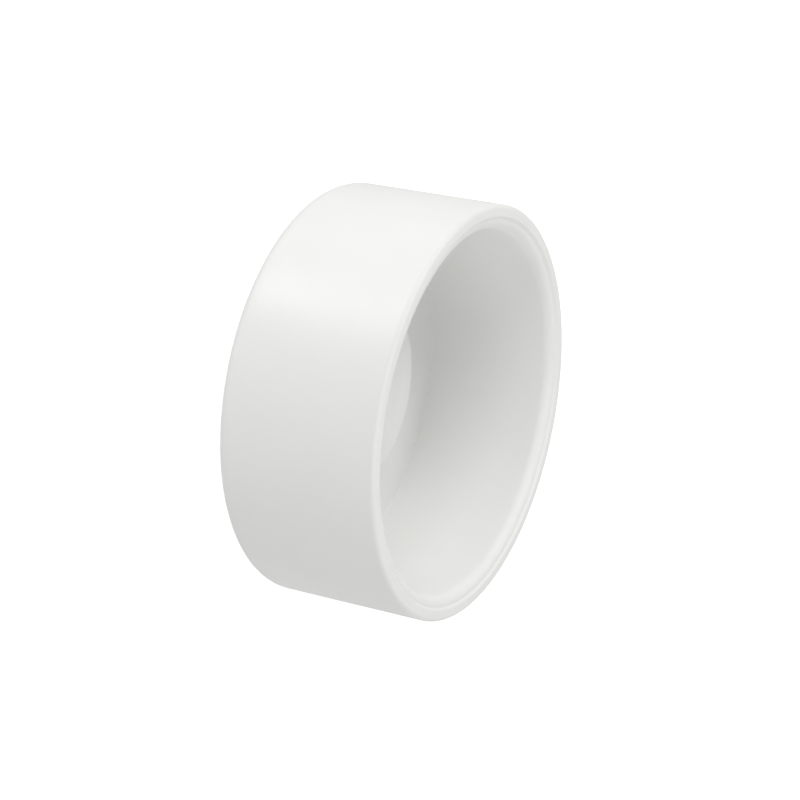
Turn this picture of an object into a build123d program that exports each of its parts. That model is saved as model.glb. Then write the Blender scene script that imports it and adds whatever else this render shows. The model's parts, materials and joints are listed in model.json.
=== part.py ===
from build123d import *

import os
from math import radians, tan

# Socket cap for the end of a drain pipe: one moulding, closed at one end, glued over the pipe.
# Millimetres. +Z runs along the socket and out of its mouth. The origin is the centre of the plane
# of the closed end's outer face, so the cap stands on that face with its mouth up.

# Socket for a 2 inch drain pipe, 60.33 across. A moulded socket tapers from 60.63 at the mouth to
# 60.17 at the bottom. This wall is a cylinder at the middle of that taper, and narrows only beside
# the pad, where it grips the pipe's end.
SOCKET_RADIUS = 30.2
SOCKET_BOTTOM_RADIUS = 30.085
SOCKET_DEPTH = 23.2
GRIP_ABOVE_PAD = 0.3

# Outside: the skirt is narrower at the closed end, by the draft angle in degrees
OVERALL_LENGTH = 28.9
MOUTH_OUTER_RADIUS = 34.6
DRAFT_ANGLE = 0.42
END_CORNER_RADIUS = 3.3
RIM_CORNER_RADIUS = 0.8

# Mouth, from the outside in: flat rim, short slope, set-back ledge, rounded lead-in to the socket
RIM_INNER_RADIUS = 32.6
LEDGE_OUTER_RADIUS = 32.15
LEDGE_SETBACK = 0.35
LEAD_IN_RADIUS = 1.7

# Inside of the closed end: a round pad stands up in the middle of the socket's floor
PAD_RADIUS = 14.9
PAD_HEIGHT = 4.15
PAD_EDGE_RADIUS = 0.5
FLOOR_CORNER_RADIUS = 0.15

# Outside of the closed end: a recess under the pad keeps the wall even. The plastic entered the
# mould at its centre, and left a stub of the runner there, broken off below the face.
RECESS_RADIUS = 11.0
RECESS_DEPTH = 3.5
RECESS_EDGE_RADIUS = 0.5
GATE_STUB_RADIUS = 1.4
GATE_STUB_HEIGHT = 0.8

end_outer_radius = MOUTH_OUTER_RADIUS - OVERALL_LENGTH * tan(radians(DRAFT_ANGLE))
floor_height = OVERALL_LENGTH - SOCKET_DEPTH
pad_top = floor_height + PAD_HEIGHT
grip_height = pad_top + GRIP_ABOVE_PAD
ledge_height = OVERALL_LENGTH - LEDGE_SETBACK
stub_tip = RECESS_DEPTH - GATE_STUB_HEIGHT

os.makedirs("parts", exist_ok=True)

with BuildPart() as cap_body:
    # Half section of the cap, as (radius, height), turned once round the socket's axis
    with BuildSketch(Plane.XZ) as section:
        with BuildLine():
            Polyline(
                (0, stub_tip),
                (GATE_STUB_RADIUS, stub_tip),
                (GATE_STUB_RADIUS, RECESS_DEPTH),
                (RECESS_RADIUS, RECESS_DEPTH),
                (RECESS_RADIUS, 0),
                (end_outer_radius, 0),
                (MOUTH_OUTER_RADIUS, OVERALL_LENGTH),
                (RIM_INNER_RADIUS, OVERALL_LENGTH),
                (LEDGE_OUTER_RADIUS, ledge_height),
                (SOCKET_RADIUS, ledge_height),
                (SOCKET_RADIUS, grip_height),
                (SOCKET_BOTTOM_RADIUS, floor_height),
                (PAD_RADIUS, floor_height),
                (PAD_RADIUS, pad_top),
                (0, pad_top),
                close=True,
            )
        make_face()
        for radius, height, rounding in (
            (RECESS_RADIUS, RECESS_DEPTH, RECESS_EDGE_RADIUS),
            (RECESS_RADIUS, 0, RECESS_EDGE_RADIUS),
            (end_outer_radius, 0, END_CORNER_RADIUS),
            (MOUTH_OUTER_RADIUS, OVERALL_LENGTH, RIM_CORNER_RADIUS),
            (SOCKET_RADIUS, ledge_height, LEAD_IN_RADIUS),
            (SOCKET_BOTTOM_RADIUS, floor_height, FLOOR_CORNER_RADIUS),
            (PAD_RADIUS, floor_height, PAD_EDGE_RADIUS),
            (PAD_RADIUS, pad_top, PAD_EDGE_RADIUS),
        ):
            corner = section.vertices().sort_by_distance((radius, height))[0]
            fillet(corner, radius=rounding)
    revolve(axis=Axis.Z)

cap_body.part.label = "cap_body"
export_step(cap_body.part, "parts/cap_body.step")
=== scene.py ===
"""The looks of the pipe cap: a white PVC moulding with a socket for 2 inch drain pipe.

Everything is in metres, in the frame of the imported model: +Z runs out of the socket's mouth, and
the cap stands on its closed end, at height 0.
"""

import json
import math

import bmesh
import bpy
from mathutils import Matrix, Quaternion, Vector, noise


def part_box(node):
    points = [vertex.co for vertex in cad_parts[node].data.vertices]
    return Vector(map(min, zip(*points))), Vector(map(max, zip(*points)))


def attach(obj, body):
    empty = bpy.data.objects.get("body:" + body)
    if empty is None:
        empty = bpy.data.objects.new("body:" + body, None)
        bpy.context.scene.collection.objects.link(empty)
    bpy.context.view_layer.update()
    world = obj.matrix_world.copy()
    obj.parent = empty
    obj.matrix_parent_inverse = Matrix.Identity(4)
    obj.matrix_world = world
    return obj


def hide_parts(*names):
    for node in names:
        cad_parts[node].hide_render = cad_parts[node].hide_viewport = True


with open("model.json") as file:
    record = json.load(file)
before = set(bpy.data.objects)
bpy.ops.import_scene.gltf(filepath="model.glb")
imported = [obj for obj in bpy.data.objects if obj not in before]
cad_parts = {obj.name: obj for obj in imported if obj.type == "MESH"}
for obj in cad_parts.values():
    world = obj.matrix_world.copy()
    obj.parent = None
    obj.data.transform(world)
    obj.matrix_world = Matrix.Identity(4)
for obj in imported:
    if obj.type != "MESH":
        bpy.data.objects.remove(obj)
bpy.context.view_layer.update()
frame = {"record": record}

MM = 0.001

# The cap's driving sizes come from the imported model
cad_low, cad_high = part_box("cap_body")
mounts = {mount["name"]: mount for mount in frame["record"]["mounts"]}
LENGTH = cad_high[2] - cad_low[2]
MOUTH_RADIUS = (cad_high[0] - cad_low[0]) / 2
BORE_RADIUS = mounts["socket"]["dims"]["r_mm"] * MM

# Outside: the skirt narrows towards the closed end
DRAFT_ANGLE = math.radians(0.42)
END_CORNER = 3.3 * MM
RIM_CORNER = 0.8 * MM

# Mouth, from the outside in: flat rim, short slope, set-back ledge, and a rounded lead-in that
# eases into the socket further down
RIM_INNER_RADIUS = MOUTH_RADIUS - 2.0 * MM
LEDGE_OUTER_RADIUS = MOUTH_RADIUS - 2.45 * MM
LEDGE_SETBACK = 0.35 * MM
STEP_CORNER = 0.2 * MM
LEAD_IN_WIDTH = 0.2 * MM
LEAD_IN_DEPTH = 6.0 * MM
LEAD_IN_CORNER = 1.7 * MM
LEAD_IN_EASE = 12.0 * MM

# Socket: a moulded one tapers, here by this much either side of the bore's radius
SOCKET_TAPER = 0.115 * MM
SOCKET_DEPTH = 23.2 * MM
FLOOR_CORNER = 0.15 * MM

# Pad that stands up in the middle of the socket's floor
PAD_RADIUS = 14.9 * MM
PAD_HEIGHT = 4.15 * MM
PAD_CORNER = 0.5 * MM

# Recess under the pad, with the broken stub where the plastic entered the mould
RECESS_RADIUS = 11.0 * MM
RECESS_DEPTH = 3.5 * MM
RECESS_CORNER = 0.5 * MM
STUB_RADIUS = 1.4 * MM
STUB_HEIGHT = 0.8 * MM
STUB_CORNER = 0.15 * MM
STUB_ROUGHNESS = 0.12 * MM
STUB_GRAIN = 0.4 * MM
STUB_ROUGH_PART = 0.98

# Mesh: segments round the axis, steps on each rounded corner, and the longest straight step
SEGMENTS = 480
CORNER_STEPS = 8
LONGEST_STEP = 1.6 * MM

# A moulding is never quite true: its surface waves by this much, over about this distance
WAVE_HEIGHT = 0.018 * MM
WAVE_LENGTH = 14 * MM

# White PVC: two close shades of resin, specks, and the least and most roughness of its sheen
RESIN_DARK = (0.797, 0.80, 0.782)
RESIN_LIGHT = (0.813, 0.817, 0.803)
SPECK_COLOUR = (0.50, 0.50, 0.47)
SPECK_STRENGTH = 0.7
SHEEN_ROUGHNESS = (0.36, 0.46)
PVC_IOR = 1.53
SUBSURFACE_WEIGHT = 0.12
SUBSURFACE_RADIUS = (1.0, 1.0, 0.9)
SUBSURFACE_SCALE = 0.6 * MM
GRAIN_DEPTH = 0.008 * MM
RIPPLE_DEPTH = 0.03 * MM

FLOOR_SIZE = 40.0
FLOOR_DROP = 0.02 * MM
FLOOR_COLOUR = (0.9, 0.9, 0.9)
FLOOR_GLOW = 0.42


def corner_arc(before, corner, after, radius):
    """Points of the arc that rounds a corner of the outline."""
    to_before = (before - corner).normalized()
    to_after = (after - corner).normalized()
    opening = to_before.angle(to_after)
    centre = corner + (to_before + to_after).normalized() * radius / math.sin(opening / 2)
    start = (corner + to_before * radius / math.tan(opening / 2) - centre).normalized()
    end = (corner + to_after * radius / math.tan(opening / 2) - centre).normalized()
    steps = range(CORNER_STEPS + 1)
    return [centre + start.slerp(end, step / CORNER_STEPS) * radius for step in steps]


def rounded_outline(corners):
    """Turns (radius, height, rounding) corners into a fine line of points."""
    line = []
    for index, (radius, height, rounding) in enumerate(corners):
        corner = Vector((radius, height))
        if rounding:
            before = Vector(corners[index - 1][:2])
            after = Vector(corners[index + 1][:2])
            line += corner_arc(before, corner, after, rounding)
        else:
            line.append(corner)
    fine = [line[0]]
    for point in line[1:]:
        start = fine[-1]
        steps = max(1, math.ceil((point - start).length / LONGEST_STEP))
        fine += [start.lerp(point, step / steps) for step in range(1, steps + 1)]
    return fine


def half_section():
    """The cap's outline from the stub under the closed end round to the top of the pad."""
    end_radius = MOUTH_RADIUS - LENGTH * math.tan(DRAFT_ANGLE)
    floor_height = LENGTH - SOCKET_DEPTH
    ledge_height = LENGTH - LEDGE_SETBACK
    pad_top = floor_height + PAD_HEIGHT
    stub_tip = RECESS_DEPTH - STUB_HEIGHT
    return rounded_outline([
        (0, stub_tip, 0),
        (STUB_RADIUS, stub_tip, STUB_CORNER),
        (STUB_RADIUS, RECESS_DEPTH, STUB_CORNER),
        (RECESS_RADIUS, RECESS_DEPTH, RECESS_CORNER),
        (RECESS_RADIUS, 0, RECESS_CORNER),
        (end_radius, 0, END_CORNER),
        (MOUTH_RADIUS, LENGTH, RIM_CORNER),
        (RIM_INNER_RADIUS, LENGTH, STEP_CORNER),
        (LEDGE_OUTER_RADIUS, ledge_height, STEP_CORNER),
        (BORE_RADIUS + LEAD_IN_WIDTH, ledge_height, LEAD_IN_CORNER),
        (BORE_RADIUS + SOCKET_TAPER, LENGTH - LEAD_IN_DEPTH, LEAD_IN_EASE),
        (BORE_RADIUS - SOCKET_TAPER, floor_height, FLOOR_CORNER),
        (PAD_RADIUS, floor_height, PAD_CORNER),
        (PAD_RADIUS, pad_top, PAD_CORNER),
        (0, pad_top, 0),
    ])


def add_waves(mesh_build):
    """Moves each point a little along its normal, and roughens the stub's broken tip."""
    mesh_build.normal_update()
    moves = []
    for vertex in mesh_build.verts:
        place = vertex.co
        wave = noise.noise(place / WAVE_LENGTH) * WAVE_HEIGHT - WAVE_HEIGHT
        move = vertex.normal * wave
        off_axis = math.hypot(place.x, place.y)
        on_stub = off_axis < STUB_RADIUS * STUB_ROUGH_PART and place.z < RECESS_DEPTH
        if on_stub:
            move.z += noise.noise(place / STUB_GRAIN) * STUB_ROUGHNESS
        moves.append((vertex, move))
    for vertex, move in moves:
        vertex.co += move
        vertex.co.z = max(vertex.co.z, 0.0)


def build_moulding():
    """The one moulded piece, turned round the socket's axis."""
    section = half_section()
    build = bmesh.new()
    rings = []
    for point in section[1:-1]:
        ring = []
        for segment in range(SEGMENTS):
            turn = 2 * math.pi * segment / SEGMENTS
            ring.append(build.verts.new((point.x * math.cos(turn), point.x * math.sin(turn), point.y)))
        rings.append(ring)
    tip = build.verts.new((0, 0, section[0].y))
    crown = build.verts.new((0, 0, section[-1].y))
    for segment in range(SEGMENTS):
        after = (segment + 1) % SEGMENTS
        build.faces.new((tip, rings[0][segment], rings[0][after]))
        build.faces.new((crown, rings[-1][after], rings[-1][segment]))
        for inner, outer in zip(rings, rings[1:]):
            build.faces.new((inner[segment], outer[segment], outer[after], inner[after]))
    bmesh.ops.recalc_face_normals(build, faces=build.faces)
    add_waves(build)
    for face in build.faces:
        face.smooth = True
    mesh = bpy.data.meshes.new("cap_moulding")
    build.to_mesh(mesh)
    build.free()
    piece = bpy.data.objects.new("cap_moulding", mesh)
    bpy.context.scene.collection.objects.link(piece)
    return piece


def pvc_material():
    """White rigid PVC as moulded: satin, faintly mottled, a few dark specks in the resin."""
    material = bpy.data.materials.new("white_pvc")
    material.use_nodes = True
    nodes = material.node_tree.nodes
    link = material.node_tree.links.new
    shader = nodes["Principled BSDF"]
    place = nodes.new("ShaderNodeTexCoord").outputs["Object"]

    def texture(kind, scale, detail=2.0):
        node = nodes.new(kind)
        node.inputs["Scale"].default_value = scale
        if "Detail" in node.inputs:
            node.inputs["Detail"].default_value = detail
        link(place, node.inputs["Vector"])
        return node

    def remap(source, low, high, to_low, to_high):
        node = nodes.new("ShaderNodeMapRange")
        for name, value in (("From Min", low), ("From Max", high), ("To Min", to_low), ("To Max", to_high)):
            node.inputs[name].default_value = value
        link(source, node.inputs["Value"])
        return node.outputs["Result"]

    def blend(amount, first, second):
        node = nodes.new("ShaderNodeMix")
        node.data_type = "RGBA"
        link(amount, node.inputs["Factor"])
        for socket, colour in ((node.inputs["A"], first), (node.inputs["B"], second)):
            if isinstance(colour, tuple):
                socket.default_value = (*colour, 1)
            else:
                link(colour, socket)
        return node.outputs["Result"]

    def bump(height, strength, distance):
        node = nodes.new("ShaderNodeBump")
        node.inputs["Strength"].default_value = strength
        node.inputs["Distance"].default_value = distance
        link(height, node.inputs["Height"])
        return node

    mottle = texture("ShaderNodeTexNoise", 70.0, 4.0).outputs["Fac"]
    resin = blend(remap(mottle, 0.3, 0.7, 0.0, 1.0), RESIN_DARK, RESIN_LIGHT)

    speck_cells = texture("ShaderNodeTexVoronoi", 240.0)
    speck_spread = texture("ShaderNodeTexNoise", 55.0, 1.0).outputs["Fac"]
    speck = nodes.new("ShaderNodeMath")
    speck.operation = "MULTIPLY"
    link(remap(speck_cells.outputs["Distance"], 0.03, 0.09, 1.0, 0.0), speck.inputs[0])
    link(remap(speck_spread, 0.66, 0.70, 0.0, SPECK_STRENGTH), speck.inputs[1])
    colour = blend(speck.outputs[0], resin, SPECK_COLOUR)
    link(colour, shader.inputs["Base Color"])

    sheen_patches = texture("ShaderNodeTexNoise", 45.0, 3.0).outputs["Fac"]
    link(remap(sheen_patches, 0.3, 0.7, *SHEEN_ROUGHNESS), shader.inputs["Roughness"])
    shader.inputs["IOR"].default_value = PVC_IOR
    shader.inputs["Subsurface Weight"].default_value = SUBSURFACE_WEIGHT
    shader.inputs["Subsurface Radius"].default_value = SUBSURFACE_RADIUS
    shader.inputs["Subsurface Scale"].default_value = SUBSURFACE_SCALE

    grain = texture("ShaderNodeTexNoise", 1800.0, 3.0).outputs["Fac"]
    ripple = texture("ShaderNodeTexNoise", 260.0, 2.0).outputs["Fac"]
    fine = bump(grain, 0.25, GRAIN_DEPTH)
    coarse = bump(ripple, 0.3, RIPPLE_DEPTH)
    link(fine.outputs["Normal"], coarse.inputs["Normal"])
    link(coarse.outputs["Normal"], shader.inputs["Normal"])
    return material


def floor_material():
    """Plain white studio floor, lit a little from within so that it stays white."""
    material = bpy.data.materials.new("studio_floor")
    material.use_nodes = True
    shader = material.node_tree.nodes["Principled BSDF"]
    shader.inputs["Base Color"].default_value = (*FLOOR_COLOUR, 1)
    shader.inputs["Roughness"].default_value = 1.0
    shader.inputs["Emission Color"].default_value = (1, 1, 1, 1)
    shader.inputs["Emission Strength"].default_value = FLOOR_GLOW
    return material


def build_floor():
    """A floor that only the camera sees: the softboxes below it light the cap through it."""
    half = FLOOR_SIZE / 2
    mesh = bpy.data.meshes.new("floor")
    mesh.from_pydata(
        [(-half, -half, -FLOOR_DROP), (half, -half, -FLOOR_DROP),
         (half, half, -FLOOR_DROP), (-half, half, -FLOOR_DROP)],
        [],
        [(0, 1, 2, 3)],
    )
    mesh.materials.append(floor_material())
    floor = bpy.data.objects.new("floor", mesh)
    floor.visible_diffuse = False
    floor.visible_glossy = False
    floor.visible_transmission = False
    floor.visible_shadow = False
    bpy.context.scene.collection.objects.link(floor)


# Softboxes round the cap: direction as (azimuth, elevation) in degrees, where azimuth 0 is the
# camera's side and 90 is +X, and power in watts. The fills give no glints, and two small boxes
# under the front give nothing else. The key's and fills' directions and powers were not chosen by
# eye: a least-squares fit to the brightness of the cap in the photo gave them. The key is split
# between a part with gloss and a part without. The glints were set one by one.
SOFTBOX_DISTANCE = 0.9
SOFTBOX_WIDTH = 0.4
GLINT_WIDTH = 0.18
KEY_LIGHTS = {
    "key": ((270, 42), 0.8),
}
FILL_LIGHTS = {
    "key_fill": ((270, 42), 1.5),
    "front_left": ((315, 22), 2.97),
    "right_high": ((60, 42), 1.2),
    "right": ((90, 22), 1.25),
    "back": ((150, 3), 2.45),
    "back_left": ((210, 3), 1.25),
    "front_under": ((0, -55), 1.65),
    "left_under": ((300, -55), 1.9),
}
GLINT_LIGHTS = {
    "skirt_glint": ((315, -26), 1.2),
    "edge_glint": ((297, -58), 0.3),
}
WORLD_STRENGTH = 0.5


def direction(azimuth, elevation):
    """The unit vector that points from the cap towards an azimuth and elevation in degrees."""
    turn = math.radians(azimuth)
    rise = math.radians(elevation)
    return Vector((math.sin(turn) * math.cos(rise), -math.cos(turn) * math.cos(rise), math.sin(rise)))


def add_softbox(name, angles, power):
    """A square lamp that faces the middle of the cap."""
    lamp = bpy.data.lights.new(name, "AREA")
    lamp.shape = "SQUARE"
    lamp.size = SOFTBOX_WIDTH
    lamp.energy = power
    softbox = bpy.data.objects.new(name, lamp)
    away = direction(*angles)
    softbox.location = Vector((0, 0, LENGTH / 2)) + away * SOFTBOX_DISTANCE
    softbox.rotation_mode = "QUATERNION"
    softbox.rotation_quaternion = (-away).to_track_quat("-Z", "Y")
    bpy.context.scene.collection.objects.link(softbox)
    return softbox


def build_lights():
    """The lamps, and an even white sky."""
    for name, (angles, power) in KEY_LIGHTS.items():
        add_softbox(name, angles, power)
    for name, (angles, power) in FILL_LIGHTS.items():
        fill = add_softbox(name, angles, power)
        fill.visible_glossy = False
    for name, (angles, power) in GLINT_LIGHTS.items():
        glint = add_softbox(name, angles, power)
        glint.data.size = GLINT_WIDTH
        glint.visible_diffuse = False
    world = bpy.data.worlds.new("studio")
    world.use_nodes = True
    sky = world.node_tree.nodes["Background"]
    sky.inputs["Color"].default_value = (1, 1, 1, 1)
    sky.inputs["Strength"].default_value = WORLD_STRENGTH
    bpy.context.scene.world = world


# Camera: a long lens on the -Y side, tilted down, and rolled until the mouth faces right. Its
# angles in degrees, distance and aim were fitted to the cap's outline in the photo.
CAMERA_ELEVATION = 25.671
CAMERA_ROLL = 101.254
CAMERA_DISTANCE = 14.318 * MOUTH_RADIUS
CAMERA_AIM = Vector((0.0002, 0.0096, 0.4376)) * MOUTH_RADIUS
CAMERA_LENS = 135.0
CAMERA_SENSOR = 36.0
CAMERA_FAR_CLIP = 100.0


def build_camera():
    """The camera at the photo's viewing angle."""
    lens = bpy.data.cameras.new("camera")
    lens.sensor_width = CAMERA_SENSOR
    lens.lens = CAMERA_LENS
    lens.clip_end = CAMERA_FAR_CLIP
    camera = bpy.data.objects.new("camera", lens)
    back = direction(0, CAMERA_ELEVATION)
    camera.location = CAMERA_AIM + back * CAMERA_DISTANCE
    camera.rotation_mode = "QUATERNION"
    roll = Quaternion((0, 0, 1), math.radians(CAMERA_ROLL))
    camera.rotation_quaternion = (-back).to_track_quat("-Z", "Y") @ roll
    bpy.context.scene.collection.objects.link(camera)
    bpy.context.scene.camera = camera


build_camera()
build_lights()
build_floor()

moulding = build_moulding()
moulding.data.materials.append(pvc_material())
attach(moulding, "root")
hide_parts("cap_body")

bpy.context.scene.view_settings.view_transform = "Standard"
